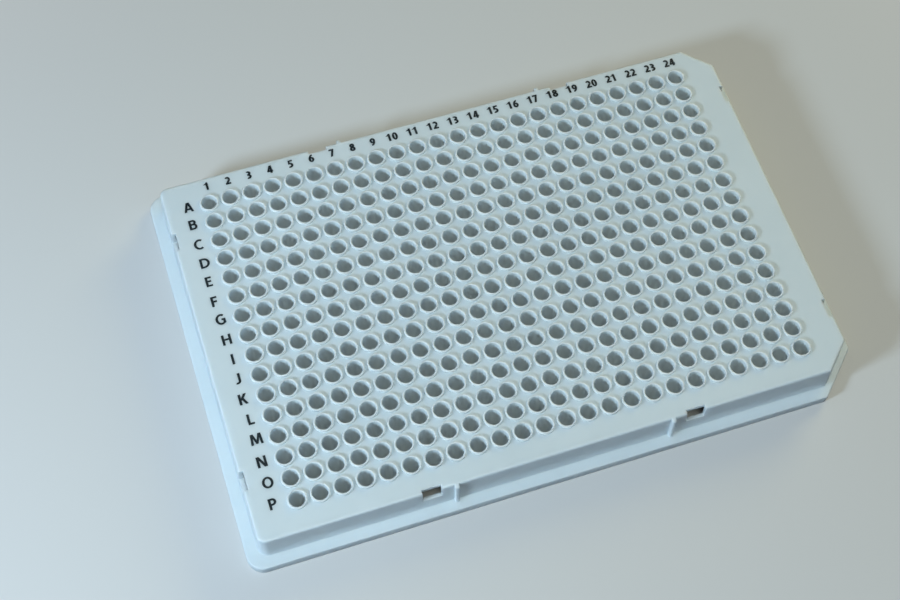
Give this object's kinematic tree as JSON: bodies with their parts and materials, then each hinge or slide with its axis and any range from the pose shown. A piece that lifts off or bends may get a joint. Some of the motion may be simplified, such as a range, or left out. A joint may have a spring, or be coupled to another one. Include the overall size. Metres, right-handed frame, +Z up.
{
  "type": "well plate",
  "caption": "Low-profile fully skirted PCR well plate with raised well rims, a stepped base flange, cut corners at one end and slotted deck edges.",
  "frame": {"origin": "centre of the footprint on the plane the base flange stands on", "axes": "+X from column 1 to column 24, +Y from row P to row A, +Z up out of the well mouths"},
  "size_m": [0.1278, 0.0854, 0.0099],
  "materials": {
    "moulded_polypropylene": "white moulded polypropylene with a fine satin surface"
  },
  "bodies": {
    "root": {"plate": "moulded_polypropylene"}
  },
  "joints": []
}
